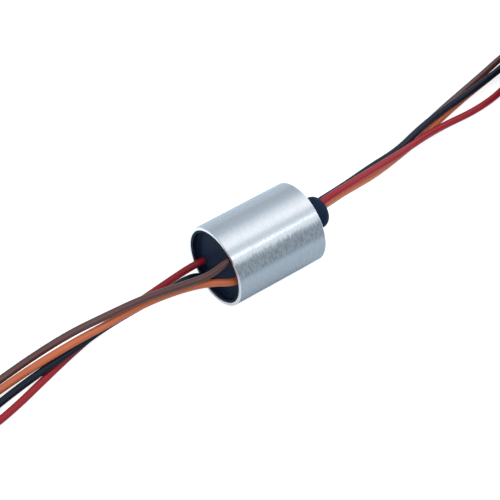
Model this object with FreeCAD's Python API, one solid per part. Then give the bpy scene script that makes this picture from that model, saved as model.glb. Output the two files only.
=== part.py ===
"""Super-miniature capsule slip ring: four circuits, a 6.5 mm housing, and four flying leads at each end.

Millimetres, +Z up. The capsule lies on its side with its axis along X. The housing's open end, where the
stator leads come out, is at -X. The rotor's hub and its leads are at +X. The origin is under the middle of
the capsule, on the surface that it lies on.
"""
import FreeCAD, Part
import math
import os

Vector = FreeCAD.Vector
X_AXIS = Vector(1, 0, 0)
Z_AXIS = Vector(0, 0, 1)

# --- driving dimensions --------------------------------------------------------------------------------
HOUSING_DIAMETER = 6.5
HOUSING_LENGTH = 8.1
OVERALL_LENGTH = 10.3            # housing and the hub's rounded nose
HOUSING_WALL = 0.25
LIP_THICKNESS = 0.4              # front lip that holds the bearing in
LIP_OVERHANG = 0.4
FRONT_CHAMFER = 0.08
REAR_CHAMFER = 0.05
HUB_RADIUS = 1.3
NOSE_ROUNDING = 0.7              # the hub's straight part ends where this rounding starts
CIRCUITS = 4
LEAD_RADIUS = 0.29               # lead, 0.58 mm over the insulation
CONDUCTOR_RADIUS = 0.175         # stripped and tinned end
RUNNING_CLEARANCE = 0.015

# Bearings, front 3 x 6 x 2 mm and rear 1 x 3 x 1 mm, given here as radii. The front one fills the housing.
BORE_RADIUS = HOUSING_DIAMETER / 2 - HOUSING_WALL
FRONT_BEARING_WIDTH = 2.0
FRONT_BEARING_BORE = 1.5
FRONT_RACE_WALL = 0.43
REAR_BEARING_WIDTH = 1.0
REAR_BEARING_BORE = 0.5
REAR_BEARING_OUTER = 1.5
REAR_RACE_WALL = 0.3
BALL_SHARE = 0.625               # a ball's radius, as a share of the gap between its races
FRONT_BEARING = dict(width=FRONT_BEARING_WIDTH, bore=FRONT_BEARING_BORE, outer=BORE_RADIUS,
                     race_wall=FRONT_RACE_WALL, count=9)
REAR_BEARING = dict(width=REAR_BEARING_WIDTH, bore=REAR_BEARING_BORE, outer=REAR_BEARING_OUTER,
                    race_wall=REAR_RACE_WALL, count=7)
FIRST_BALL = 13                  # degrees from +Y to the first ball of a bearing
CAGE_BACK = 1.3                  # a cage's sizes, as shares of its balls' radius
CAGE_MOUTH = 0.6
CAGE_THICKNESS = 0.7
SHIELD_SHARE = 0.08              # a shield's thickness, as a share of the bearing's width
SHIELD_GAP = 0.04                # between a shield and the inner race

# Housing and the plug in its rear end.
AXIS_HEIGHT = HOUSING_DIAMETER / 2
REAR = -OVERALL_LENGTH / 2
FRONT = REAR + HOUSING_LENGTH
NOSE = OVERALL_LENGTH / 2
RIM_SET_BACK = 0.05
RECESS_DEPTH = 0.5               # from the rear rim to the resin in the plug
POTTING_THICKNESS = 0.35
PLUG_THICKNESS = 0.55
CUP_WALL = 0.18
BOSS_WALL = 0.35
LEAD_HOLE_CLEARANCE = 0.03
RELIEF_STEP = 0.35               # the relief behind the rear bearing is this much smaller than its seat
RELIEF_DEPTH = 0.1
MENISCUS_WIDTH = 0.2             # the resin creeps up the cup's wall
MENISCUS_HEIGHT = 0.1
POTTING_FACE = REAR + RECESS_DEPTH
PLUG_FLOOR = POTTING_FACE + POTTING_THICKNESS
PLUG_BACK = PLUG_FLOOR + PLUG_THICKNESS
PLUG_BOSS_END = PLUG_BACK + REAR_BEARING_WIDTH
CUP_RADIUS = BORE_RADIUS - CUP_WALL
FRONT_BEARING_END = FRONT - LIP_THICKNESS
FRONT_BEARING_START = FRONT_BEARING_END - FRONT_BEARING_WIDTH

# Drum of rings and barriers, which fills the room between the two bearings.
RING_TO_BARRIER = 19 / 12        # width of a ring over that of a barrier
CORE_RADIUS = 1.1
RING_RADIUS = 1.45
BARRIER_RADIUS = 1.62
GROOVE_BOTTOM = 1.36
GROOVE_RADIUS = 0.12
DRUM_GAP = 0.08                  # from the drum to the front bearing
REAR_SHOULDER = 0.4              # from the drum to the rear bearing
DRUM_FRONT = FRONT_BEARING_START - DRUM_GAP
DRUM_REAR = PLUG_BOSS_END + REAR_SHOULDER
BARRIER_WIDTH = (DRUM_FRONT - DRUM_REAR) / (CIRCUITS * (RING_TO_BARRIER + 1) + 1)
RING_WIDTH = BARRIER_WIDTH * RING_TO_BARRIER
LEAD_BORE = 0.79
TERMINAL_RADIUS = 0.11
COUNTERBORE_RADIUS = 1.1
SHOULDER_STEP = 0.2              # the shaft's shoulder stays this far below the bearing's inner land
TAIL_OVERRUN = 0.05              # the shaft's tail past the rear bearing, into the plug's relief
HUB_MOUTH = NOSE - NOSE_ROUNDING
POTTING_DEPTH = 1.0              # of the resin below the hub's mouth
POTTING_BOTTOM = HUB_MOUTH - POTTING_DEPTH   # the rotor leads start here, on the ends of the terminals

# Brushes and the two blocks that carry them.
BLOCK_GAP = 0.35                 # from the plug to the blocks
BLOCK_REAR = PLUG_BACK + BLOCK_GAP           # the stator leads start on this face
BLOCK_FRONT = DRUM_FRONT - BARRIER_WIDTH / 2
BLOCK_CLEARANCE = 0.38           # from the drum's barriers to the blocks
BLOCK_INNER_RADIUS = BARRIER_RADIUS + BLOCK_CLEARANCE
BRUSH_RADIUS = 0.08
BRUSH_SET_BACK = 1.9             # from the contact point to the end that is moulded in
BRUSH_OVERRUN = 0.6
BRUSH_LEAD_ANGLE = 46            # from the block's end face to the contact point
BRUSH_BLOCKS = {"a": (120, 188), "b": (-75, -20)}   # first and last angle of each block, degrees

# Coils of the leads' spare length.
COIL_OUTER = 5.95
COIL_INNER = 2.0
COIL_HEIGHT = 4.8
COIL_CORNER = 0.3
TURN_RADIUS = 5.3                # middle of the outermost turn
TIE_WIDTH = 1.0
TIE_THICKNESS = 0.2
KNOT_RADIUS = 0.4
ENDS_START = 2.0                 # along the tangent on which the four ends leave the coil
ENDS_FINISH = 5.5
STATOR_COIL_REACH = 29.95        # from the origin back along the axis, and to its side
STATOR_COIL_OFFSET = 5.0
ROTOR_COIL_REACH = 33.55
ROTOR_COIL_OFFSET = 1.7
COILS = {"stator": dict(centre=Vector(-STATOR_COIL_REACH, STATOR_COIL_OFFSET, 0), tie_angle=200,
                        exit_angle=90),
         "rotor": dict(centre=Vector(ROTOR_COIL_REACH, ROTOR_COIL_OFFSET, 0), tie_angle=20,
                       exit_angle=-90)}

# Routes of the leads, chosen by hand: x, y and height above the surface.
STATOR_ROUTES = {
    "brown": [(BLOCK_REAR, -1.56, 5.1), (-4.9, -1.56, 5.1), (-6.4, -1.3, 4.15), (-8.3, -0.5, 3.7),
              (-11, 0.85, 2.9), (-14, 1.5, 2.4), (-17, 1.85, 2.15), (-20, 2.25, 1.35), (-22.5, 2.45, 0.6),
              (-25, 2.2, 0.34), (-27.6, 0.9, 0.84), (-29.95, 0.01, 0.94)],
    "orange": [(BLOCK_REAR, -2.42, 3.33), (-4.9, -2.42, 3.33), (-6.4, -1.45, 3.55), (-8.3, -0.25, 3.1),
               (-11, 1.0, 2.2), (-14, 1.35, 1.7), (-17, 1.3, 1.7), (-20, 1.4, 1.3),
               (-22.5, 1.75, 0.45), (-25, 1.5, 0.29), (-27.6, 0.5, 0.29), (-29.95, 0.01, 0.29)],
    "black": [(BLOCK_REAR, 1.14, 1.11), (-4.9, 1.14, 1.11), (-6.4, 1.4, 1.9), (-8.5, 1.45, 1.65),
              (-11, 1.6, 1.25), (-14, 1.7, 1.0), (-17, 1.25, 1.1), (-20, 1.05, 0.8),
              (-22.5, 1.0, 0.3), (-25, 0.45, 0.32), (-27.6, -0.35, 0.84), (-29.95, -0.63, 0.94)],
    "red": [(BLOCK_REAR, 2.1, 2.0), (-4.9, 2.1, 2.0), (-6.1, 2.35, 1.65), (-7.7, 2.65, 1.0),
            (-9.4, 2.85, 0.45), (-11.4, 2.75, 0.29), (-14, 2.38, 0.29), (-17, 1.62, 0.29), (-20, 0.7, 0.29),
            (-22.8, -0.2, 0.29), (-25.4, -0.85, 0.29), (-27.6, -0.85, 0.29), (-29.95, -0.63, 0.29)],
}
ROTOR_ROUTES = {
    "red": [(POTTING_BOTTOM, -0.33, 3.58), (4.5, -0.12, 4.04), (6.05, 0.1, 4.05), (8.6, 0.55, 3.7),
            (11.6, 1.2, 3.1), (15, 2.0, 2.35), (18.4, 3.3, 1.15), (21.4, 4.05, 0.35),
            (24.8, 3.9, 0.29), (28.4, 4.45, 0.29), (31, 5.9, 0.29), (33.55, 6.69, 0.29)],
    "orange": [(POTTING_BOTTOM, -0.33, 2.92), (4.5, 0.0, 3.38), (6.05, 0.2, 3.4), (8.6, 0.6, 3.0),
               (11.6, 1.35, 2.25), (15, 2.6, 1.35), (18.4, 3.75, 0.7), (21.6, 4.83, 0.29),
               (25.2, 5.65, 0.29), (28.4, 6.35, 0.29), (31, 6.95, 0.29), (33.55, 7.33, 0.29)],
    "black": [(POTTING_BOTTOM, 0.33, 3.58), (4.5, 0.64, 3.35), (6.05, 0.85, 3.25), (8.6, 1.25, 3.0),
              (11.6, 1.9, 2.6), (15, 2.6, 2.05), (18.4, 3.95, 1.5), (21.6, 4.95, 0.95),
              (25.2, 5.45, 0.86), (28.4, 6.0, 0.86), (31, 6.4, 0.92), (33.55, 6.69, 0.94)],
    "brown": [(POTTING_BOTTOM, 0.33, 2.92), (4.5, 0.6, 2.71), (6.05, 0.75, 2.6), (8.6, 1.2, 2.35),
              (11.6, 2.05, 1.9), (15, 3.2, 1.05), (18.4, 4.45, 0.45), (21.6, 5.45, 0.29),
              (25.2, 6.27, 0.29), (28.4, 6.97, 0.45), (31, 7.35, 0.94), (33.55, 7.33, 0.94)],
}


# --- small helpers -------------------------------------------------------------------------------------
def save(name, shape):
    """Write one sub-part."""
    shape.exportStep(os.path.join("parts", name + ".step"))


def turned(outline):
    """Solid of revolution about the capsule's axis, from a closed outline of (station, radius)."""
    points = [Vector(x, 0, AXIS_HEIGHT + radius) for x, radius in outline]
    face = Part.Face(Part.makePolygon(points + points[:1]))
    return face.revolve(Vector(0, 0, AXIS_HEIGHT), X_AXIS, 360)


def sleeve(start, end, inner, outer):
    """Plain tube about the capsule's axis."""
    return turned([(start, inner), (start, outer), (end, outer), (end, inner)])


def rod(start, direction, length, radius):
    return Part.makeCylinder(radius, length, start, direction)


def groove(station, circle_radius, radius):
    """Torus about the capsule's axis that cuts a groove."""
    return Part.makeTorus(circle_radius, radius, Vector(station, 0, AXIS_HEIGHT), X_AXIS)


def across(station, angle, radius):
    """Point at a station, an angle from +Y towards +Z and a radius from the axis."""
    turn = math.radians(angle)
    return Vector(station, radius * math.cos(turn), AXIS_HEIGHT + radius * math.sin(turn))


def lead_path(points):
    """Straight runs joined by tangent arcs, each as large as its two runs allow."""
    points = [Vector(*point) for point in points]
    runs = [after - before for before, after in zip(points, points[1:])]
    edges = []
    radii = []
    here = points[0]
    for corner, coming, leaving in zip(points[1:], runs, runs[1:]):
        trim = 0.45 * min(coming.Length, leaving.Length)
        turn = coming.getAngle(leaving)
        radius = trim / math.tan(turn / 2)
        arrive = corner - coming * (trim / coming.Length)
        depart = corner + leaving * (trim / leaving.Length)
        inward = (depart - corner) + (arrive - corner)
        inward.normalize()
        middle = corner + inward * (radius / math.cos(turn / 2) - radius)
        edges.append(Part.LineSegment(here, arrive).toShape())
        edges.append(Part.Arc(arrive, middle, depart).toShape())
        radii.append(radius)
        here = depart
    edges.append(Part.LineSegment(here, points[-1]).toShape())
    return Part.Wire(edges), min(radii)


def lead_tube(name, points):
    """Lead along its route, with its smallest bend and its volume printed as a check."""
    path, smallest = lead_path(points)
    start = Vector(*points[0])
    section = Part.Wire(Part.makeCircle(LEAD_RADIUS, start, Vector(*points[1]) - start))
    tube = path.makePipeShell([section], True, False)
    expected = math.pi * LEAD_RADIUS ** 2 * path.Length
    print(name, "length %.2f" % path.Length, "smallest bend %.2f" % smallest,
          "volume over section x length %.4f" % (tube.Volume / expected), "valid", tube.isValid())
    return tube


# --- housing -------------------------------------------------------------------------------------------
def housing_shell():
    outer = HOUSING_DIAMETER / 2
    opening = BORE_RADIUS - LIP_OVERHANG
    return turned([(REAR, BORE_RADIUS), (REAR, outer - REAR_CHAMFER), (REAR + REAR_CHAMFER, outer),
                   (FRONT - FRONT_CHAMFER, outer), (FRONT, outer - FRONT_CHAMFER), (FRONT, opening),
                   (FRONT_BEARING_END, opening), (FRONT_BEARING_END, BORE_RADIUS)])


def end_plug():
    """Black cup that closes the rear end, carries the rear bearing and lets the leads through."""
    rim = REAR + RIM_SET_BACK
    seat = REAR_BEARING_OUTER
    boss = seat + BOSS_WALL
    relief = seat - RELIEF_STEP
    relief_end = PLUG_BACK - RELIEF_DEPTH
    plug = turned([(PLUG_FLOOR, 0), (PLUG_FLOOR, CUP_RADIUS), (rim, CUP_RADIUS), (rim, BORE_RADIUS),
                   (PLUG_BACK, BORE_RADIUS), (PLUG_BACK, boss), (PLUG_BOSS_END, boss), (PLUG_BOSS_END, seat),
                   (PLUG_BACK, seat), (PLUG_BACK, relief), (relief_end, relief), (relief_end, 0)])
    for route in STATOR_ROUTES.values():
        hole_start = Vector(PLUG_BACK, route[0][1], route[0][2])
        plug = plug.cut(rod(hole_start, -X_AXIS, HOUSING_LENGTH, LEAD_RADIUS + LEAD_HOLE_CLEARANCE))
    return plug


def rear_potting(leads):
    """Resin poured on the plug's floor round the leads, creeping up the cup's wall."""
    resin = turned([(PLUG_FLOOR, 0), (POTTING_FACE, 0), (POTTING_FACE, CUP_RADIUS - MENISCUS_WIDTH),
                    (POTTING_FACE - MENISCUS_HEIGHT, CUP_RADIUS), (PLUG_FLOOR, CUP_RADIUS)])
    return resin.cut(leads)


def save_bearing(prefix, start, width, bore, outer, race_wall, count):
    """Shielded miniature ball bearing: two grooved races, a crown cage, its balls and two shields."""
    inner_land = bore + race_wall
    outer_land = outer - race_wall
    ball = BALL_SHARE * (outer_land - inner_land)
    pitch = (inner_land + outer_land) / 2
    middle = start + width / 2
    track = groove(middle, pitch, ball + RUNNING_CLEARANCE)
    save(prefix + "_inner_race", sleeve(start, start + width, bore, inner_land).cut(track))
    save(prefix + "_outer_race", sleeve(start, start + width, outer_land, outer).cut(track))
    half_web = CAGE_THICKNESS * ball / 2
    cage = sleeve(middle - CAGE_BACK * ball, middle + CAGE_MOUTH * ball, pitch - half_web, pitch + half_web)
    centres = [across(middle, FIRST_BALL + 360 * index / count, pitch) for index in range(count)]
    balls = [Part.makeSphere(ball, centre) for centre in centres]
    axle = Vector(middle, 0, AXIS_HEIGHT)
    pockets = [rod(axle, centre - axle, 2 * pitch, ball + RUNNING_CLEARANCE) for centre in centres]
    save(prefix + "_cage", cage.cut(pockets))
    save(prefix + "_balls", Part.makeCompound(balls))
    shield_thickness = SHIELD_SHARE * width
    shield_inner = inner_land + SHIELD_GAP
    for side, face in (("rear", start), ("front", start + width - shield_thickness)):
        shield = sleeve(face, face + shield_thickness, shield_inner, outer_land)
        save(prefix + "_" + side + "_shield", shield)


def brush_block(first_angle, last_angle, wires):
    """Moulded carrier that follows the housing's bore, with its brushes moulded in."""
    middle_angle = (first_angle + last_angle) / 2
    outer_arc = Part.Arc(across(BLOCK_REAR, first_angle, BORE_RADIUS),
                         across(BLOCK_REAR, middle_angle, BORE_RADIUS),
                         across(BLOCK_REAR, last_angle, BORE_RADIUS)).toShape()
    inner_arc = Part.Arc(across(BLOCK_REAR, last_angle, BLOCK_INNER_RADIUS),
                         across(BLOCK_REAR, middle_angle, BLOCK_INNER_RADIUS),
                         across(BLOCK_REAR, first_angle, BLOCK_INNER_RADIUS)).toShape()
    ends = [Part.LineSegment(across(BLOCK_REAR, angle, BORE_RADIUS),
                             across(BLOCK_REAR, angle, BLOCK_INNER_RADIUS)).toShape()
            for angle in (first_angle, last_angle)]
    face = Part.Face(Part.Wire(Part.__sortEdges__([outer_arc, inner_arc] + ends)))
    return face.extrude(X_AXIS * (BLOCK_FRONT - BLOCK_REAR)).cut(wires)


def brush(station, contact_angle):
    """Gold wire that runs across the bottom of a ring's groove."""
    contact = across(station, contact_angle, GROOVE_BOTTOM + BRUSH_RADIUS + RUNNING_CLEARANCE)
    tangent = across(0, contact_angle + 90, 1) - Vector(0, 0, AXIS_HEIGHT)
    return rod(contact - tangent * BRUSH_SET_BACK, tangent, BRUSH_SET_BACK + BRUSH_OVERRUN, BRUSH_RADIUS)


# --- rotor ---------------------------------------------------------------------------------------------
def ring_station(index):
    """Middle of a ring, counted from the rear of the drum."""
    return DRUM_REAR + BARRIER_WIDTH + RING_WIDTH / 2 + index * (RING_WIDTH + BARRIER_WIDTH)


def terminal(index, lead_point):
    """Conductor from the end of a rotor lead along the bore, then out through the core to its ring."""
    station = ring_station(index)
    seat = Vector(POTTING_BOTTOM, lead_point[1], lead_point[2])
    elbow = Vector(station, seat.y, seat.z)
    outward = elbow - Vector(station, 0, AXIS_HEIGHT)
    reach = CORE_RADIUS - outward.Length
    pin = rod(elbow, X_AXIS, POTTING_BOTTOM - station, TERMINAL_RADIUS)
    pin = pin.fuse(Part.makeSphere(TERMINAL_RADIUS, elbow))
    pin = pin.fuse(rod(elbow, outward, reach, TERMINAL_RADIUS))
    return pin.cut(sleeve(station - RING_WIDTH, station + RING_WIDTH, CORE_RADIUS, BARRIER_RADIUS))


def rotor_shaft(terminals):
    """Core of the drum, its two journals and the hub, bored for the leads."""
    tail = PLUG_BACK - TAIL_OVERRUN
    rear_shoulder = REAR_BEARING_BORE + REAR_RACE_WALL
    front_shoulder = FRONT_BEARING_BORE + FRONT_RACE_WALL - SHOULDER_STEP
    bore_end = DRUM_REAR + BARRIER_WIDTH
    shaft = turned([(tail, 0), (tail, REAR_BEARING_BORE), (PLUG_BOSS_END, REAR_BEARING_BORE),
                    (PLUG_BOSS_END, rear_shoulder), (DRUM_REAR, rear_shoulder), (DRUM_REAR, CORE_RADIUS),
                    (DRUM_FRONT, CORE_RADIUS), (DRUM_FRONT, front_shoulder),
                    (FRONT_BEARING_START, front_shoulder), (FRONT_BEARING_START, FRONT_BEARING_BORE),
                    (FRONT_BEARING_END, FRONT_BEARING_BORE), (FRONT_BEARING_END, HUB_RADIUS),
                    (HUB_MOUTH, HUB_RADIUS), (HUB_MOUTH, COUNTERBORE_RADIUS),
                    (POTTING_BOTTOM, COUNTERBORE_RADIUS), (POTTING_BOTTOM, LEAD_BORE), (bore_end, LEAD_BORE),
                    (bore_end, 0)])
    return shaft.cut(terminals)


def rotor_potting(leads):
    """Rounded black resin nose that seals the hub round the leads."""
    flat_radius = HUB_RADIUS - NOSE_ROUNDING
    shortfall = NOSE_ROUNDING * (1 - math.cos(math.pi / 4))
    corners = [Vector(x, 0, AXIS_HEIGHT + radius) for x, radius in
               ((NOSE, flat_radius), (NOSE, 0), (POTTING_BOTTOM, 0), (POTTING_BOTTOM, COUNTERBORE_RADIUS),
                (HUB_MOUTH, COUNTERBORE_RADIUS), (HUB_MOUTH, HUB_RADIUS))]
    middle = Vector(NOSE - shortfall, 0, AXIS_HEIGHT + HUB_RADIUS - shortfall)
    rounding = Part.Arc(corners[-1], middle, corners[0]).toShape()
    outline = Part.Wire(Part.makePolygon(corners).Edges + [rounding])
    resin = Part.Face(outline).revolve(Vector(0, 0, AXIS_HEIGHT), X_AXIS, 360)
    return resin.cut(leads)


# --- coils ---------------------------------------------------------------------------------------------
def coil_ring(centre, inset):
    """Ring with a rounded rectangular section, made smaller all round by an inset."""
    inner = COIL_INNER + inset
    outer = COIL_OUTER - inset
    height = COIL_HEIGHT - 2 * inset
    corner = centre + Vector(inner, 0, inset)
    section = Part.makePlane(outer - inner, height, corner, Vector(0, -1, 0), X_AXIS)
    ring = section.revolve(centre, Z_AXIS, 360)
    corners = [edge for edge in ring.Edges if edge.Closed and edge.Length > 2 * math.pi * inner - 0.01]
    return ring.makeFillet(COIL_CORNER, corners)


def up_to_coil(tube, centre):
    """The part of a lead that lies outside its coil."""
    pieces = tube.cut(Part.makeCylinder(COIL_OUTER, COIL_HEIGHT, centre)).Solids
    return max(pieces, key=lambda piece: piece.Volume)


def coil_with_tie(centre, tie_angle, exit_angle):
    """Coil of four leads, the tie that holds it together and the four tinned ends that leave it."""
    ring = coil_ring(centre, 0)
    core = coil_ring(centre, TIE_THICKNESS)
    strip = Part.makeBox(COIL_OUTER, TIE_WIDTH, COIL_HEIGHT, centre - Vector(0, TIE_WIDTH / 2, 0))
    strip.rotate(centre, Z_AXIS, tie_angle)
    strap = ring.common(strip).cut(core)
    middle_of_top = Vector((COIL_INNER + COIL_OUTER) / 2, 0, COIL_HEIGHT)
    knot = Part.makeSphere(KNOT_RADIUS, Vector(0, 0, 0), Z_AXIS, 0, 90, 360)
    knot.translate(centre + middle_of_top)
    knot.rotate(centre, Z_AXIS, tie_angle)
    coil = ring.cut(strap)
    ends = []
    for side in (-1, 1):
        for level in (-1, 1):
            start = centre + Vector(TURN_RADIUS + side * LEAD_RADIUS, 0, COIL_HEIGHT - 2 * LEAD_RADIUS)
            start = start + Z_AXIS * (level * LEAD_RADIUS) - Vector(0, ENDS_START, 0)
            end = rod(start, Vector(0, -1, 0), ENDS_FINISH - ENDS_START, CONDUCTOR_RADIUS)
            end.rotate(centre, Z_AXIS, exit_angle)
            ends.append(end.cut(ring))
    return coil, strap.fuse(knot), Part.makeCompound(ends)


def save_drum(terminals):
    """The rings, each with its terminal, and the barriers on either side of them."""
    for index, terminal_pin in enumerate(terminals):
        station = ring_station(index)
        blank = sleeve(station - RING_WIDTH / 2, station + RING_WIDTH / 2, CORE_RADIUS, RING_RADIUS)
        track = groove(station, GROOVE_BOTTOM + GROOVE_RADIUS, GROOVE_RADIUS)
        save("slip_ring_%d" % (index + 1), blank.cut(track))
        save("ring_terminal_%d" % (index + 1), terminal_pin)
    for index in range(CIRCUITS + 1):
        start = DRUM_REAR + index * (RING_WIDTH + BARRIER_WIDTH)
        save("barrier_%d" % (index + 1), sleeve(start, start + BARRIER_WIDTH, CORE_RADIUS, BARRIER_RADIUS))


def save_brushes():
    for letter, (first_angle, last_angle) in BRUSH_BLOCKS.items():
        wires = [brush(ring_station(index), last_angle + BRUSH_LEAD_ANGLE) for index in range(CIRCUITS)]
        save("brush_block_" + letter, brush_block(first_angle, last_angle, wires))
        for index, wire in enumerate(wires):
            save("brush_%s_%d" % (letter, index + 1), wire)


def save_leads(side, tubes):
    """The leads of one end up to their coil, and the coil with its tie and the leads' ends."""
    coil, tie, ends = coil_with_tie(**COILS[side])
    for colour, tube in tubes.items():
        save("%s_lead_%s" % (side, colour), up_to_coil(tube, COILS[side]["centre"]))
    save(side + "_coil", coil)
    save(side + "_coil_tie", tie)
    save(side + "_lead_ends", ends)


def build():
    os.makedirs("parts", exist_ok=True)
    stator_tubes = {colour: lead_tube("stator " + colour, route) for colour, route in STATOR_ROUTES.items()}
    rotor_tubes = {colour: lead_tube("rotor " + colour, route) for colour, route in ROTOR_ROUTES.items()}
    terminals = [terminal(index, route[0]) for index, route in enumerate(ROTOR_ROUTES.values())]

    save("housing_shell", housing_shell())
    save("end_plug", end_plug())
    save("rear_potting", rear_potting(list(stator_tubes.values())))
    save_bearing("rear_bearing", PLUG_BACK, **REAR_BEARING)
    save_bearing("front_bearing", FRONT_BEARING_START, **FRONT_BEARING)
    save_brushes()
    save("rotor_shaft", rotor_shaft(terminals))
    save("rotor_potting", rotor_potting(list(rotor_tubes.values())))
    save_drum(terminals)
    save_leads("stator", stator_tubes)
    save_leads("rotor", rotor_tubes)


build()
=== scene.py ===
"""Capsule slip ring on a white table, seen from its stator end. Metres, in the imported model's frame."""
import math

import bmesh
import bpy
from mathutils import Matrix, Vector


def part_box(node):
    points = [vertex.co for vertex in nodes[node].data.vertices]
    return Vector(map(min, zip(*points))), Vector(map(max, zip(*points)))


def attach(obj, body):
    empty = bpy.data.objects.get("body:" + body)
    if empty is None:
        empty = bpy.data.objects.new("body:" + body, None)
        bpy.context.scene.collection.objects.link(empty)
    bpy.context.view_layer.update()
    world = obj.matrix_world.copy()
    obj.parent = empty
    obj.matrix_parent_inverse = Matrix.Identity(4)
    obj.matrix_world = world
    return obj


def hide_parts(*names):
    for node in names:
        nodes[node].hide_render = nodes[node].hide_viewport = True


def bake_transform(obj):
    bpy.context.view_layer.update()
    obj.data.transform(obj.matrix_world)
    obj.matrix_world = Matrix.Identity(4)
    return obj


MM = 0.001
UP = Vector((0, 0, 1))

# --- camera --------------------------------------------------------------------------------------------
CAMERA_AZIMUTH = -37.58          # degrees
CAMERA_ELEVATION = 44.29
CAMERA_DISTANCE = 158.9 * MM     # from the shell's middle
CAMERA_SENSOR = 36               # millimetres, as the lens
CAMERA_LENS = 151.8
CAMERA_SHIFT_X = -0.0151         # shares of the frame
CAMERA_SHIFT_Y = -0.0126
CAMERA_NEAREST = 0.01
CAMERA_FARTHEST = 5

# --- table, lights and sky -----------------------------------------------------------------------------
TABLE_SIZE = 1.2
TABLE_GLOW = 0.8                 # added for the camera alone, so that the table looks overexposed
TABLE_TINT = (0.9, 1.0, 1.08)
# Painted light and shade on the table, seen in light and reflections alone: millimetres behind the capsule's
# axis, and how bright it is painted there.
TABLE_PAINTED_BANDS = [(-20, 0.55), (-14, 0.68), (-10, 0.76), (0, 0.68), (4, 0.92)]

KEY_PLACE = Vector((-0.02, -0.16, 0.2))
KEY_SIZE = (0.3, 0.02)
KEY_POWER = 0.06
# Bright cards that lie on the table and are mirrored in the shell's end faces.
CARD_SIZE = (8 * MM, 16 * MM)
CARD_DEPTH = 4 * MM              # of a card's middle, behind the capsule's axis
CARD_LIFT = 0.2 * MM
REAR_CARD_GAP = 4 * MM           # from the end face to the card's middle
FRONT_CARD_GAP = 8 * MM
REAR_CARD_POWER = 1.1e-4
FRONT_CARD_POWER = 1.7e-4

# Soft boxes and dark gaps round the capsule's axis: degrees up from the front, and how bright it is there.
SKY = [(-180, 0.56), (-90, 0.45), (-8, 0.4), (4, 0.38), (16, 0.36), (27, 0.5), (33, 0.98), (41, 0.88),
       (53, 0.74), (67, 0.68), (78, 1.1), (89, 1.15), (100, 1.02), (112, 0.85), (125, 0.6), (139, 0.52),
       (155, 0.49), (172, 0.64), (180, 0.56)]
SKY_AT_REAR = 0.55               # how much of it comes from the stator's side and from the rotor's
SKY_AT_FRONT = 1.6
SKY_TINT_DARK = (0.85, 1.0, 1.13)
SKY_TINT_BRIGHT = (0.975, 1.0, 1.03)

# --- sizes read from the frame -------------------------------------------------------------------------
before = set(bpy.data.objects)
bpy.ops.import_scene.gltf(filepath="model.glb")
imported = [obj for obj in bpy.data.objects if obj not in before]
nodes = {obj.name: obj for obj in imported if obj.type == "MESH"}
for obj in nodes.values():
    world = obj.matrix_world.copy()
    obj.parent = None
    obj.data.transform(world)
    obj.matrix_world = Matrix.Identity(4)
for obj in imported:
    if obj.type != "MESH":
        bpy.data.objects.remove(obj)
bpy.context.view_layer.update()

shell_low, shell_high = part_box("housing_shell")
plug_low, plug_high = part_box("end_plug")
nose_low, nose_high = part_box("rotor_potting")

REAR = shell_low[0]
FRONT = shell_high[0]
SHELL_RADIUS = (shell_high[2] - shell_low[2]) / 2
AXIS = Vector((0, 0, shell_low[2] + SHELL_RADIUS))
BORE_RADIUS = (plug_high[2] - plug_low[2]) / 2
HUB_RADIUS = (nose_high[2] - nose_low[2]) / 2
NOSE = nose_high[0]
RESIN_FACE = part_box("rear_potting")[0][0]   # where the stator's leads come out

# --- sizes of the shell and the nose -------------------------------------------------------------------
LIP_THICKNESS = 0.4 * MM         # of the shell's front, which reaches over the bore
LIP_OVERHANG = 0.4 * MM
REAR_CHAMFER = 0.05 * MM
FRONT_CHAMFER = 0.08 * MM
SHELL_EDGE = 0.02 * MM           # bevel that eases the shell's sharp edges
NOSE_ROUNDING = 0.7 * MM
WELD = 0.0001 * MM               # vertices closer than this become one

# --- sizes of the leads, their coils and ties ----------------------------------------------------------
LEAD_RADIUS = 0.29 * MM
COILS = {"stator": dict(centre=Vector((-29.95, 5.0, 0)) * MM, start_angle=-90, tie_angle=200),
         "rotor": dict(centre=Vector((33.55, 1.7, 0)) * MM, start_angle=90, tie_angle=20)}
OUTER_TURN = 5.3 * MM            # of the bundle's middle
INNER_TURN = 2.65 * MM
BUNDLE_HEIGHT = 0.6 * MM         # of the bundle's middle, in the lowest layer
LAYER_PITCH = 1.2 * MM
TURNS = 8.5
LAYERS = 4
CLIMB_SHARE = 0.12               # last part of a layer, in which the bundle climbs to the next one
SWAP_SHARE = 0.03                # part of the coil, at its middle, in which the bundle turns over
POINTS_PER_TURN = 16
COIL_INNER = 2.0 * MM            # the coil as the tie goes round it
COIL_OUTER = 5.95 * MM
COIL_HEIGHT = 4.8 * MM
TIE_WIDTH = 1.0 * MM
TIE_THICKNESS = 0.2 * MM
TIE_CORNER = 0.3 * MM
# Upper half of the tie's section: shares of half its width and of half its thickness.
TIE_SECTION = [(-1, 0.5), (-0.93, 0.93), (-0.8, 1), (0.8, 1), (0.93, 0.93), (1, 0.5)]
TIE_CORNER_STEPS = 6
KNOT_RADIUS = 0.4 * MM
KNOT_CORD = KNOT_RADIUS * 0.36   # radius of the knot's two loops
KNOT_LIFT = KNOT_RADIUS * 0.35   # of the knot's middle above the coil
KNOT_RISE = KNOT_RADIUS * 0.65   # of a loop's outside above its two feet
KNOT_SINK = KNOT_RADIUS * 0.1    # of the feet below the knot's middle
KNOT_SWAY = 35                   # degrees that each loop is turned from the strap
KNOT_STEPS = 16
END_START = 2.0 * MM             # insulation past the coil, where the bare strands begin
END_FINISH = 5.5 * MM
CONDUCTOR_RADIUS = 0.175 * MM
STRAND_RADIUS = CONDUCTOR_RADIUS / 3
STRANDS_ROUND = 6                # strands twisted round a middle one
STRAND_TWIST = 1.2               # turns
STRAND_STEPS = 14

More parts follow.
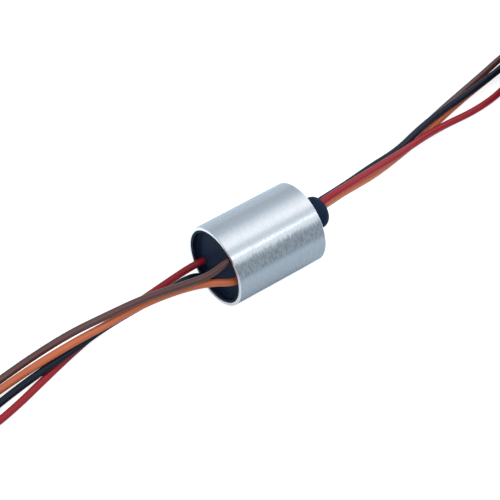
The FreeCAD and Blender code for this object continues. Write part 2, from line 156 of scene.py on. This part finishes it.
# Routes of the leads, as in part.py but with some points moved a little: x, y and height, in millimetres.
STATOR_ROUTES = {
    "brown": [(-3.4, -1.56, 5.1), (-4.9, -1.56, 5.1), (-6.4, -1.3, 4.15), (-8.3, -0.5, 3.68),
              (-11, 0.85, 2.88), (-14, 1.5, 2.35), (-17, 1.87, 2.08), (-20, 2.25, 1.27), (-22.5, 2.45, 0.52),
              (-25, 2.2, 0.34), (-27.6, 0.9, 0.84), (-29.95, 0.01, 0.94)],
    "orange": [(-3.4, -2.42, 3.33), (-4.9, -2.42, 3.33), (-6.4, -1.45, 3.55), (-8.3, -0.25, 3.08),
               (-11, 1.0, 2.15), (-14, 1.33, 1.62), (-17, 1.3, 1.66), (-20, 1.42, 1.27),
               (-22.5, 1.75, 0.45), (-25, 1.5, 0.29), (-27.6, 0.5, 0.29), (-29.95, 0.01, 0.29)],
    "black": [(-3.4, 1.14, 1.11), (-4.9, 1.14, 1.11), (-6.4, 1.4, 1.9), (-8.5, 1.45, 1.5),
              (-11, 1.6, 1.33), (-14, 1.7, 1.05), (-17, 1.25, 1.0), (-20, 1.03, 0.82),
              (-22.5, 1.0, 0.3), (-25, 0.45, 0.32), (-27.6, -0.35, 0.84), (-29.95, -0.63, 0.94)],
    "red": [(-3.4, 2.1, 2.0), (-4.9, 2.1, 2.0), (-6.1, 2.35, 1.65), (-7.7, 2.65, 1.0),
            (-9.4, 2.85, 0.45), (-11.4, 2.75, 0.29), (-14, 2.38, 0.29), (-17, 1.62, 0.29), (-20, 0.7, 0.29),
            (-22.8, -0.2, 0.29), (-25.4, -0.85, 0.29), (-27.6, -0.85, 0.29), (-29.95, -0.63, 0.29)],
}
ROTOR_ROUTES = {
    "red": [(3.45, -0.33, 3.58), (4.5, -0.12, 4.04), (6.05, 0.1, 4.05), (8.6, 0.55, 3.7),
            (11.6, 1.2, 3.1), (15, 2.0, 2.35), (18.4, 3.3, 1.15), (21.4, 4.05, 0.35),
            (24.8, 3.9, 0.29), (28.4, 4.45, 0.29), (31, 5.9, 0.29), (33.55, 6.69, 0.29)],
    "orange": [(3.45, -0.33, 2.92), (4.5, 0.0, 3.42), (6.05, 0.2, 3.46), (8.6, 0.6, 3.08),
               (11.6, 1.34, 2.28), (15, 2.6, 1.35), (18.4, 3.75, 0.7), (21.6, 4.87, 0.32),
               (25.45, 5.78, 0.36), (28.65, 6.38, 0.34), (31, 6.95, 0.29), (33.55, 7.33, 0.29)],
    "black": [(3.45, 0.33, 3.58), (4.5, 0.64, 3.35), (6.05, 0.85, 3.25), (8.6, 1.25, 3.0),
              (11.6, 1.92, 2.62), (15, 2.6, 2.05), (18.4, 3.95, 1.5), (21.6, 4.95, 0.98),
              (25.2, 5.42, 0.9), (28.4, 5.98, 0.9), (31, 6.4, 0.92), (33.55, 6.69, 0.94)],
    "brown": [(3.45, 0.33, 2.92), (4.5, 0.6, 2.71), (6.05, 0.75, 2.6), (8.6, 1.2, 2.35),
              (11.6, 2.05, 1.9), (15, 3.2, 1.05), (18.4, 4.45, 0.45), (21.6, 5.48, 0.29),
              (25.2, 6.34, 0.29), (28.4, 6.97, 0.45), (31, 7.35, 0.94), (33.55, 7.33, 0.94)],
}


# --- materials -----------------------------------------------------------------------------------------
# Marks in each metre of a noise, along the part and across it both ways.
RING_MARKS = (9000, 2600, 2600)
STREAK_MARKS = (10000, 2600, 2600)
CLOUD_MARKS = (6000, 1400, 1400)
MOULDING_MARKS = (6000, 6000, 6000)
RESIN_MARKS = (900, 900, 900)
SHADE_MARKS = (700, 700, 700)
DIE_MARKS = (500, 9000, 9000)
METAL_MARKS = (20000, 600, 600)
NOISE_LOW, NOISE_HIGH = 0.3, 0.7   # nearly all of a noise lies between these

RING_LEAN = 0.045                # most that a ring's normal leans round the barrel
# How far a normal lies along the axis where the barrel's tone begins and ends to turn into the end faces'.
TURNED_END = (0.15, 0.5)
# Brighter tone of the end faces: a painted highlight on the rims.
END_HIGHLIGHT_TONE = (0.97, 0.97, 0.97)
# A band of painted shade in darker strokes along one side of the barrel, standing in for a dark reflection.
PAINTED_SHADE_SIDE = (0, -0.87, 0.492)   # side of the barrel that gets a band of painted shade, where its reflections are dark
PAINTED_SHADE_EDGE = (0.965, 0.985)    # how nearly a normal points that way where the painted shade begins and is full
PAINTED_SHADE_STROKES = (0.42, 0.62)   # the noise between these runs from unshaded to fully shaded strokes
PAINTED_SHADE_DEPTH = 0.6
PAINTED_SHADE_TONE = (0.3, 0.31, 0.33)


def new_material(name, colour, roughness, metallic=0.0, **sockets):
    """A Principled material; returns the material, its node tree and its shader node."""
    material = bpy.data.materials.new(name)
    material.use_nodes = True
    tree = material.node_tree
    shader = tree.nodes["Principled BSDF"]
    shader.inputs["Base Color"].default_value = (*colour, 1)
    shader.inputs["Roughness"].default_value = roughness
    shader.inputs["Metallic"].default_value = metallic
    for socket, value in sockets.items():
        shader.inputs[socket.replace("_", " ")].default_value = value
    return material, tree, shader


def add_node(tree, kind, inputs=(), **settings):
    """A new shader node. Each of its inputs is fed by another node's output or gets a fixed value."""
    node = tree.nodes.new("ShaderNode" + kind)
    for name, value in settings.items():
        setattr(node, name, value)
    for name, value in dict(inputs).items():
        if isinstance(value, bpy.types.NodeSocket):
            tree.links.new(value, node.inputs[name])
        else:
            node.inputs[name].default_value = value
    return node


def map_range(tree, value, low, high, to_low=0.0, to_high=1.0):
    """A value from between two limits, spread between two others."""
    limits = {"Value": value, "From Min": low, "From Max": high, "To Min": to_low, "To Max": to_high}
    return add_node(tree, "MapRange", limits).outputs["Result"]


def mix_colours(tree, factor, first, second):
    """A mix of two colours, each given as a colour or as a node's output."""
    first, second = [(*colour, 1) if isinstance(colour, tuple) else colour for colour in (first, second)]
    sockets = {"A": first, "B": second, "Factor": factor}
    return add_node(tree, "Mix", sockets, data_type="RGBA").outputs["Result"]


def fill_ramp(ramp, colours):
    """Puts colours on a ramp, each at its own position."""
    stops = ramp.color_ramp.elements
    for index, (position, colour) in enumerate(colours):
        stop = stops[index] if index < 2 else stops.new(1)
        stop.position = position
        stop.color = (*colour, 1)


def stretched_noise(tree, scales, detail=3.0, roughness=0.6):
    """Noise over the object's own coordinates, with its own scale along each axis."""
    place = add_node(tree, "TexCoord").outputs["Object"]
    stretched = add_node(tree, "Mapping", {"Vector": place, "Scale": scales}).outputs["Vector"]
    settings = {"Vector": stretched, "Scale": 1, "Detail": detail, "Roughness": roughness}
    return add_node(tree, "TexNoise", settings).outputs["Fac"]


def vary(tree, noise, low, high, socket):
    """Drives a socket between two values, or two colours, by a noise."""
    if isinstance(low, tuple):
        varied = mix_colours(tree, noise, low, high)
    else:
        varied = map_range(tree, noise, NOISE_LOW, NOISE_HIGH, low, high)
    tree.links.new(varied, socket)


def bump(tree, shader, height, distance, strength):
    """Relief of a noise's height on a shader."""
    relief = add_node(tree, "Bump", {"Height": height, "Distance": distance, "Strength": strength})
    tree.links.new(relief.outputs["Normal"], shader.inputs["Normal"])


def turned_aluminium():
    """Lathe-turned metal: its gloss spreads along the axis, its fine grain leans a little round it.

    A band of painted shade, in darker strokes, runs along one side of the barrel where its reflections are
    dark, and its end faces get a brighter tone, a painted highlight.
    """
    material, tree, shader = new_material("turned_aluminium", (0.62, 0.635, 0.66), 0.3, 1.0,
                                          Anisotropic=0.75, Anisotropic_Rotation=0.25)
    around = add_node(tree, "Tangent", direction_type="RADIAL", axis="X").outputs["Tangent"]
    normal = add_node(tree, "NewGeometry").outputs["Normal"]
    rings = stretched_noise(tree, RING_MARKS)
    roughness_and_shade_streaks = stretched_noise(tree, STREAK_MARKS, detail=2)
    cloud = stretched_noise(tree, CLOUD_MARKS, detail=4, roughness=0.65)

    barrel = mix_colours(tree, cloud, (0.58, 0.60, 0.63), (0.66, 0.68, 0.70))
    along = add_node(tree, "SeparateXYZ", {0: normal}).outputs["X"]
    facing = add_node(tree, "Math", {0: along}, operation="ABSOLUTE").outputs[0]
    # The end faces take the painted highlight's brighter tone.
    metal = mix_colours(tree, map_range(tree, facing, *TURNED_END), barrel, END_HIGHLIGHT_TONE)

    # Painted shade: darker strokes in a band on one side of the barrel, where its reflections are dark. The
    # same noise also varies the roughness.
    side = add_node(tree, "VectorMath", {0: normal, 1: PAINTED_SHADE_SIDE}, operation="DOT_PRODUCT")
    shade_band = map_range(tree, side.outputs["Value"], *PAINTED_SHADE_EDGE, to_high=PAINTED_SHADE_DEPTH)
    shade_strokes = map_range(tree, roughness_and_shade_streaks, *PAINTED_SHADE_STROKES)
    painted_shade = add_node(tree, "Math", {0: shade_band, 1: shade_strokes}, operation="MULTIPLY").outputs[0]
    tree.links.new(mix_colours(tree, painted_shade, metal, PAINTED_SHADE_TONE), shader.inputs["Base Color"])

    lean = map_range(tree, rings, 0, 1, -RING_LEAN, RING_LEAN)
    sideways = add_node(tree, "VectorMath", {0: around, "Scale": lean}, operation="SCALE")
    leaning = add_node(tree, "VectorMath", {0: normal, 1: sideways.outputs["Vector"]}, operation="ADD")
    level = add_node(tree, "VectorMath", {0: leaning.outputs["Vector"]}, operation="NORMALIZE")
    tree.links.new(level.outputs["Vector"], shader.inputs["Normal"])
    tree.links.new(around, shader.inputs["Tangent"])
    vary(tree, roughness_and_shade_streaks, 0.2, 0.36, shader.inputs["Roughness"])
    return material


def black_moulding():
    """Moulded plastic with a fine grain."""
    material, tree, shader = new_material("black_moulding", (0.008, 0.016, 0.040), 0.5,
                                          Specular_IOR_Level=0.1)
    grain = stretched_noise(tree, MOULDING_MARKS)
    vary(tree, grain, 0.42, 0.6, shader.inputs["Roughness"])
    bump(tree, shader, grain, distance=0.004 * MM, strength=0.4)
    return material


def black_resin():
    """Poured epoxy: dark and satin, with a slow unevenness."""
    material, tree, shader = new_material("black_resin", (0.006, 0.021, 0.052), 0.5, Specular_IOR_Level=0.06)
    swell = stretched_noise(tree, RESIN_MARKS, detail=2)
    vary(tree, swell, (0.006, 0.018, 0.046), (0.011, 0.027, 0.062), shader.inputs["Base Color"])
    bump(tree, shader, swell, distance=0.03 * MM, strength=0.4)
    return material


def insulation(name, dark, light, gloss=0.45, roughness=0.32):
    """Insulation or other satin plastic: faint die lines along it and a slight change of shade."""
    material, tree, shader = new_material(name, dark, roughness, Specular_IOR_Level=gloss)
    shade = stretched_noise(tree, SHADE_MARKS, detail=2)
    vary(tree, shade, dark, light, shader.inputs["Base Color"])
    lines = stretched_noise(tree, DIE_MARKS, detail=2)
    vary(tree, lines, roughness * 0.85, roughness * 1.25, shader.inputs["Roughness"])
    bump(tree, shader, lines, distance=0.004 * MM, strength=0.35)
    return material


def plain_metal(name, colour, roughness):
    """Metal with faint turning marks round it."""
    material, tree, shader = new_material(name, colour, roughness, 1.0)
    marks = stretched_noise(tree, METAL_MARKS)
    vary(tree, marks, roughness * 0.8, roughness * 1.3, shader.inputs["Roughness"])
    bump(tree, shader, marks, distance=0.002 * MM, strength=0.4)
    return material


def camera_only(tree, seen, otherwise):
    """A shader for what the camera sees directly, and another for light and reflections."""
    direct = add_node(tree, "LightPath").outputs["Is Camera Ray"]
    return add_node(tree, "MixShader", {0: direct, 1: otherwise, 2: seen}).outputs[0]


def white_table():
    """Pale table, shown overexposed as a product photograph shows it, with a faint shadow left.

    In light and reflections it carries painted light and shade, from mid-grey in front to nearly white
    behind.
    """
    material, tree, shader = new_material("white_table", (0.6, 0.62, 0.64), 0.7)
    first, last = TABLE_PAINTED_BANDS[0][0], TABLE_PAINTED_BANDS[-1][0]
    place = add_node(tree, "TexCoord").outputs["Object"]
    depth = add_node(tree, "SeparateXYZ", {0: place}).outputs["Y"]
    # Painted light and shade on the table by depth, used for light and reflections only.
    painted_light_bands = add_node(tree, "ValToRGB", {"Fac": map_range(tree, depth, first * MM, last * MM)})
    fill_ramp(painted_light_bands, [((at - first) / (last - first), [grey * channel for channel in TABLE_TINT])
                      for at, grey in TABLE_PAINTED_BANDS])
    paper = add_node(tree, "BsdfDiffuse", {"Color": painted_light_bands.outputs["Color"]})
    glow = add_node(tree, "Emission", {"Strength": TABLE_GLOW})
    total = add_node(tree, "AddShader", {0: shader.outputs[0], 1: glow.outputs[0]})
    surface = tree.nodes["Material Output"].inputs["Surface"]
    tree.links.new(camera_only(tree, total.outputs[0], paper.outputs[0]), surface)
    return material


ALUMINIUM = turned_aluminium()
MOULDING = black_moulding()
RESIN = black_resin()
GOLD = plain_metal("gold_plate", (0.95, 0.68, 0.25), 0.22)
STEEL = plain_metal("bearing_steel", (0.62, 0.63, 0.65), 0.25)
TINNED = plain_metal("tinned_copper", (0.75, 0.76, 0.78), 0.35)
CAGE = insulation("cage_nylon", (0.42, 0.34, 0.18), (0.5, 0.42, 0.24))
TIE = insulation("tie_plastic", (0.02, 0.02, 0.022), (0.035, 0.035, 0.04))
LEADS = {"black": insulation("lead_black", (0.004, 0.009, 0.021), (0.007, 0.013, 0.028), gloss=0.2),
         "brown": insulation("lead_brown", (0.095, 0.030, 0.024), (0.135, 0.044, 0.036), gloss=0.65,
                             roughness=0.2),
         "red": insulation("lead_red", (0.34, 0.009, 0.017), (0.43, 0.012, 0.024), gloss=0.3),
         "orange": insulation("lead_orange", (0.66, 0.145, 0.05), (0.78, 0.19, 0.07))}


# --- mesh helpers --------------------------------------------------------------------------------------
def add_object(name, data, material):
    """An object of a mesh, in the scene."""
    made = bpy.data.objects.new(name, data)
    bpy.context.scene.collection.objects.link(made)
    data.materials.append(material)
    return made


def skin(work, rings, closed=True):
    """Quads between each ring of vertices and the next, and from the last to the first if closed."""
    next_rings = rings[1:] + rings[:1] if closed else rings[1:]
    for ring, following in zip(rings, next_rings):
        for index in range(len(ring)):
            other = (index + 1) % len(ring)
            work.faces.new((ring[index], ring[other], following[other], following[index]))


def finished_mesh(name, work):
    """The mesh of a bmesh whose faces are all turned outwards."""
    bmesh.ops.recalc_face_normals(work, faces=work.faces)
    mesh = bpy.data.meshes.new(name)
    work.to_mesh(mesh)
    work.free()
    return mesh


def lathe(name, outline, material, bevel, segments=160):
    """Closed outline of (station, radius) turned about the capsule's axis, with its sharp edges eased."""
    work = bmesh.new()
    rings = []
    for step in range(segments):
        turn = 2 * math.pi * step / segments
        around = Vector((0, math.cos(turn), math.sin(turn)))
        rings.append([work.verts.new(AXIS + Vector((x, 0, 0)) + around * radius) for x, radius in outline])
    skin(work, rings)
    bmesh.ops.remove_doubles(work, verts=work.verts, dist=WELD)
    for face in work.faces:
        face.smooth = True
    made = add_object(name, finished_mesh(name, work), material)
    if bevel:
        ease = made.modifiers.new("ease", "BEVEL")
        ease.width = bevel
        ease.segments = 3
        ease.limit_method = "ANGLE"
        ease.angle_limit = math.radians(30)
        ease.harden_normals = True
    return made


def dome_outline(start, end, radius, rounding, steps=14):
    """Outline of a solid nose: a straight wall and a quarter-round edge, closed at the axis."""
    outline = [(start, 0), (start, radius)]
    for step in range(steps + 1):
        turn = math.pi / 2 * step / steps
        station = end - rounding + rounding * math.sin(turn)
        outline.append((station, radius - rounding + rounding * math.cos(turn)))
    outline.append((end, 0))
    return outline


def tube_mesh(name, line, radius, sides=16):
    """Tube along a line, with its frame carried along so that it doesn't twist."""
    work = bmesh.new()
    turns = [2 * math.pi * side / sides for side in range(sides)]
    across = UP
    rings = []
    for index, point in enumerate(line):
        before = line[max(index - 1, 0)]
        after = line[min(index + 1, len(line) - 1)]
        along = (after - before).normalized()
        across = (across - along * across.dot(along)).normalized()
        other = along.cross(across)
        rings.append([work.verts.new(point + (across * math.cos(turn) + other * math.sin(turn)) * radius)
                      for turn in turns])
    skin(work, rings, closed=False)
    for face in work.faces:
        face.smooth = True
    work.faces.new(rings[0][::-1])
    work.faces.new(rings[-1])
    return finished_mesh(name, work)


def join(name, objects, material):
    """One object from several meshes."""
    work = bmesh.new()
    for made in objects:
        work.from_mesh(made.data)
        bpy.data.objects.remove(made)
    mesh = bpy.data.meshes.new(name)
    work.to_mesh(mesh)
    work.free()
    return add_object(name, mesh, material)


# --- leads ---------------------------------------------------------------------------------------------
def smooth_step(value, start, end):
    """0 before the start, 1 past the end, and an even rise between them."""
    share = min(max((value - start) / (end - start), 0.0), 1.0)
    return share * share * (3 - 2 * share)


def coil_turns(side, offset, level):
    """Points of one lead's turns: clockwise from above, through the layers, then off along the tangent.

    offset and level are the lead's place in its bundle. The bundle turns over half-way, which gives its four
    leads one length.
    """
    centre = COILS[side]["centre"]
    start_angle = math.radians(COILS[side]["start_angle"])
    count = int(TURNS * POINTS_PER_TURN)
    step = 2 * math.pi / POINTS_PER_TURN
    fullness = 1 / math.cos(step / 2)   # the curve runs inside its points, so they lie a little further out
    points = []
    for index in range(1, count + 1):
        angle = start_angle - index * step
        share = index / count
        layer = min(int(share * LAYERS), LAYERS - 1)
        across = share * LAYERS - layer
        inward = across if layer % 2 == 0 else 1 - across
        climb = smooth_step(across, 1 - CLIMB_SHARE, 1) if layer < LAYERS - 1 else 0.0
        flip = math.pi * smooth_step(share, 0.5 - SWAP_SHARE, 0.5 + SWAP_SHARE)
        radius = OUTER_TURN + (INNER_TURN - OUTER_TURN) * inward
        radius += offset * math.cos(flip) - level * math.sin(flip)
        height = BUNDLE_HEIGHT + (layer + climb) * LAYER_PITCH
        height += level * math.cos(flip) + offset * math.sin(flip)
        outward = Vector((math.cos(angle), math.sin(angle), 0))
        points.append(centre + outward * radius * fullness + Vector((0, 0, height)))
    along = Vector((math.sin(angle), -math.cos(angle), 0))
    edge = centre + outward * radius + Vector((0, 0, height))
    points[-1] = edge
    points += [edge + along * END_START / 2, edge + along * END_START]
    return points, along


def lead_curve(side, colour, route):
    """One lead as a NURBS curve, its end, and the direction in which its bare strands go on from there."""
    coil_entry = Vector(route[-1]) * MM
    offset = abs(coil_entry.y - COILS[side]["centre"].y) - OUTER_TURN
    turns, along = coil_turns(side, offset, coil_entry.z - BUNDLE_HEIGHT)
    points = [Vector(point) * MM for point in route] + turns
    data = bpy.data.curves.new("%s_lead_%s" % (side, colour), "CURVE")
    data.dimensions = "3D"
    spline = data.splines.new("NURBS")
    spline.points.add(len(points) - 1)
    for control, point in zip(spline.points, points):
        control.co = (*point, 1)
    spline.order_u = 3
    spline.use_endpoint_u = True
    data.resolution_u = 6
    return data, points[-1], along


def centreline(data):
    """Points along the line that a curve draws."""
    probe = bpy.data.objects.new("probe", data)
    mesh = bpy.data.meshes.new_from_object(probe)
    line = [vertex.co.copy() for vertex in mesh.vertices]
    bpy.data.objects.remove(probe)
    bpy.data.meshes.remove(mesh)
    return line


def bare_strands(start, along):
    """Tinned strands twisted round a middle one."""
    length = END_FINISH - END_START
    side = along.cross(UP)
    strands = []
    for index in range(STRANDS_ROUND + 1):
        radius = 2 * STRAND_RADIUS if index < STRANDS_ROUND else 0
        line = []
        for step in range(STRAND_STEPS + 1):
            turn = 2 * math.pi * (index / STRANDS_ROUND + STRAND_TWIST * step / STRAND_STEPS)
            lay = (UP * math.cos(turn) + side * math.sin(turn)) * radius
            line.append(start + along * (length * step / STRAND_STEPS) + lay)
        strands.append(add_object("strand", tube_mesh("strand", line, STRAND_RADIUS, sides=8), TINNED))
    return join("strands", strands, TINNED)


def strap_mesh(centre, outward, along):
    """Strap round the coil's bundle, with rounded corners."""
    middle = Vector(((COIL_INNER + COIL_OUTER) / 2, COIL_HEIGHT / 2))
    half = Vector(((COIL_OUTER - COIL_INNER) / 2, COIL_HEIGHT / 2))
    inset = half - Vector((TIE_CORNER, TIE_CORNER))
    section = TIE_SECTION + [(across, -depth) for across, depth in TIE_SECTION[::-1]]
    work = bmesh.new()
    rings = []
    for right, top, first in ((1, 1, 0), (-1, 1, 90), (-1, -1, 180), (1, -1, 270)):
        corner = middle + Vector((right * inset.x, top * inset.y))
        for step in range(TIE_CORNER_STEPS + 1):
            lean = math.radians(first + 90 * step / TIE_CORNER_STEPS)
            normal = Vector((math.cos(lean), math.sin(lean)))
            ring = []
            for across, depth in section:
                spot = corner + normal * (TIE_CORNER - TIE_THICKNESS / 2 * (1 - depth))
                place = centre + outward * spot.x + UP * spot.y + along * (across * TIE_WIDTH / 2)
                ring.append(work.verts.new(place))
            rings.append(ring)
    skin(work, rings)
    for face in work.faces:
        face.smooth = True
    return finished_mesh("strap", work)


def coil_tie(side):
    """Strap round the coil's bundle, and the knot of its two ends on top."""
    centre = COILS[side]["centre"]
    turn = math.radians(COILS[side]["tie_angle"])
    outward = Vector((math.cos(turn), math.sin(turn), 0))
    along = Vector((-math.sin(turn), math.cos(turn), 0))
    pieces = [add_object("strap", strap_mesh(centre, outward, along), TIE)]
    top = centre + outward * ((COIL_INNER + COIL_OUTER) / 2) + UP * (COIL_HEIGHT + KNOT_LIFT)
    for lean in (-KNOT_SWAY, KNOT_SWAY):
        sway = math.radians(lean)
        long_way = along * math.cos(sway) + outward * math.sin(sway)
        line = []
        for step in range(KNOT_STEPS + 1):
            bend = math.pi * (step / KNOT_STEPS)
            rise = math.sin(bend) * (KNOT_RISE - KNOT_CORD) - KNOT_SINK
            line.append(top - long_way * math.cos(bend) * (KNOT_RADIUS - KNOT_CORD) + UP * rise)
        pieces.append(add_object("loop", tube_mesh("loop", line, KNOT_CORD, sides=12), TIE))
    return join(side + "_tie", pieces, TIE)


def make_leads(side, routes):
    """The four leads of one side, each with its line, and their bare strands as one piece."""
    made = {}
    strands = []
    for colour, route in routes.items():
        data, end, along = lead_curve(side, colour, route)
        line = centreline(data)
        name = "%s_wire_%s" % (side, colour)
        lead = add_object(name, tube_mesh(name, line, LEAD_RADIUS), LEADS[colour])
        made[colour] = (lead, line)
        strands.append(bare_strands(end, along))
    return made, join(side + "_bare_ends", strands, TINNED)


# --- the capsule ---------------------------------------------------------------------------------------
opening = BORE_RADIUS - LIP_OVERHANG
lip_back = FRONT - LIP_THICKNESS
shell = lathe("shell", [(REAR, BORE_RADIUS), (REAR, SHELL_RADIUS - REAR_CHAMFER),
                        (REAR + REAR_CHAMFER, SHELL_RADIUS), (FRONT - FRONT_CHAMFER, SHELL_RADIUS),
                        (FRONT, SHELL_RADIUS - FRONT_CHAMFER), (FRONT, opening), (lip_back, opening),
                        (lip_back, BORE_RADIUS)], ALUMINIUM, SHELL_EDGE, segments=256)
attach(shell, "housing")
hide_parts("housing_shell")

nose = lathe("nose", dome_outline(nose_low[0], NOSE, HUB_RADIUS, NOSE_ROUNDING), RESIN, 0)
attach(nose, "rotor")
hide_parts("rotor_potting")


def finish_of(name):
    """The material of a CAD part that is shown as it is."""
    if name in ("end_plug", "brush_block_a", "brush_block_b", "rotor_shaft") or name.startswith("barrier"):
        return MOULDING
    if name == "rear_potting":
        return RESIN
    if name.startswith(("slip_ring", "ring_terminal", "brush_a", "brush_b")):
        return GOLD
    if name.endswith("_cage"):
        return CAGE
    if name.endswith("_ends"):
        return TINNED
    return STEEL


for name, node in nodes.items():
    node.data.materials.clear()
    node.data.materials.append(finish_of(name))


def follow(side, piece):
    """The stator's pieces ride on the housing; the rotor's are fixed where they lie."""
    if side == "stator":
        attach(piece, "housing")
    else:
        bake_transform(piece)


for side, routes, exit_station in (("stator", STATOR_ROUTES, RESIN_FACE), ("rotor", ROTOR_ROUTES, NOSE)):
    wires, bare_ends = make_leads(side, routes)
    follow(side, bare_ends)
    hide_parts(side + "_lead_ends")
    tie = coil_tie(side)
    follow(side, tie)
    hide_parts(side + "_coil_tie")
    for colour, (lead, line) in wires.items():
        follow(side, lead)
        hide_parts("%s_lead_%s" % (side, colour), *([side + "_coil"] if colour == "red" else []))


# --- stage, light and camera ---------------------------------------------------------------------------
bpy.ops.mesh.primitive_plane_add(size=TABLE_SIZE, location=(0, 0, 0))
table = bpy.context.object
table.name = "table"
table.data.materials.append(white_table())


def studio_world():
    """Sky whose brightness changes round the X axis only, as long soft boxes beside the part give."""
    world = bpy.data.worlds.new("studio")
    bpy.context.scene.world = world
    world.use_nodes = True
    tree = world.node_tree
    place = add_node(tree, "TexCoord").outputs["Generated"]
    split = add_node(tree, "SeparateXYZ", {0: place})
    forward = add_node(tree, "Math", {0: split.outputs["Y"], 1: -1}, operation="MULTIPLY").outputs[0]
    angle = add_node(tree, "Math", {0: split.outputs["Z"], 1: forward}, operation="ARCTAN2").outputs[0]
    ramp = add_node(tree, "ValToRGB", {"Fac": map_range(tree, angle, -math.pi, math.pi)})
    darkest = min(value for degrees, value in SKY)
    brightest = max(value for degrees, value in SKY)
    colours = []
    for degrees, value in SKY:
        lit = (value - darkest) / (brightest - darkest)
        tint = [dark + (bright - dark) * lit for dark, bright in zip(SKY_TINT_DARK, SKY_TINT_BRIGHT)]
        colours.append(((degrees + 180) / 360, [value * channel for channel in tint]))
    fill_ramp(ramp, colours)
    sky = tree.nodes["Background"]
    tree.links.new(ramp.outputs["Color"], sky.inputs["Color"])
    strength = map_range(tree, split.outputs["X"], -1, 1, SKY_AT_REAR, SKY_AT_FRONT)
    tree.links.new(strength, sky.inputs["Strength"])
    paper = add_node(tree, "Background", {"Color": (1, 1, 1, 1)})
    surface = tree.nodes["World Output"].inputs["Surface"]
    tree.links.new(camera_only(tree, paper.outputs[0], sky.outputs[0]), surface)


def soft_light(name, place, target, size, power, only_gloss=False):
    """Rectangular light pointed at a target. One that is only in gloss is seen in reflections alone."""
    data = bpy.data.lights.new(name, "AREA")
    data.shape = "RECTANGLE"
    data.size, data.size_y = size
    data.energy = power
    light = bpy.data.objects.new(name, data)
    light.location = place
    light.rotation_euler = (target - light.location).to_track_quat("-Z", "Y").to_euler()
    light.visible_camera = not only_gloss
    light.visible_diffuse = not only_gloss
    bpy.context.scene.collection.objects.link(light)


studio_world()
soft_light("key", KEY_PLACE, AXIS, KEY_SIZE, KEY_POWER)
for card, station, power in (("rear_card", REAR - REAR_CARD_GAP, REAR_CARD_POWER),
                             ("front_card", FRONT + FRONT_CARD_GAP, FRONT_CARD_POWER)):
    lying = Vector((station, CARD_DEPTH, CARD_LIFT))
    soft_light(card, lying, lying + UP, CARD_SIZE, power, only_gloss=True)

camera_data = bpy.data.cameras.new("camera")
camera_data.sensor_width = CAMERA_SENSOR
camera_data.lens = CAMERA_LENS
camera_data.shift_x = CAMERA_SHIFT_X
camera_data.shift_y = CAMERA_SHIFT_Y
camera_data.clip_start = CAMERA_NEAREST
camera_data.clip_end = CAMERA_FARTHEST
camera = bpy.data.objects.new("camera", camera_data)
bpy.context.scene.collection.objects.link(camera)
bpy.context.scene.camera = camera
azimuth, elevation = math.radians(CAMERA_AZIMUTH), math.radians(CAMERA_ELEVATION)
back = Vector((math.sin(azimuth) * math.cos(elevation), -math.cos(azimuth) * math.cos(elevation),
               math.sin(elevation)))
camera.location = Vector(((REAR + FRONT) / 2, 0, AXIS.z)) + back * CAMERA_DISTANCE
camera.rotation_mode = "QUATERNION"
camera.rotation_quaternion = (-back).to_track_quat("-Z", "Y")
bpy.context.scene.view_settings.view_transform = "Standard"
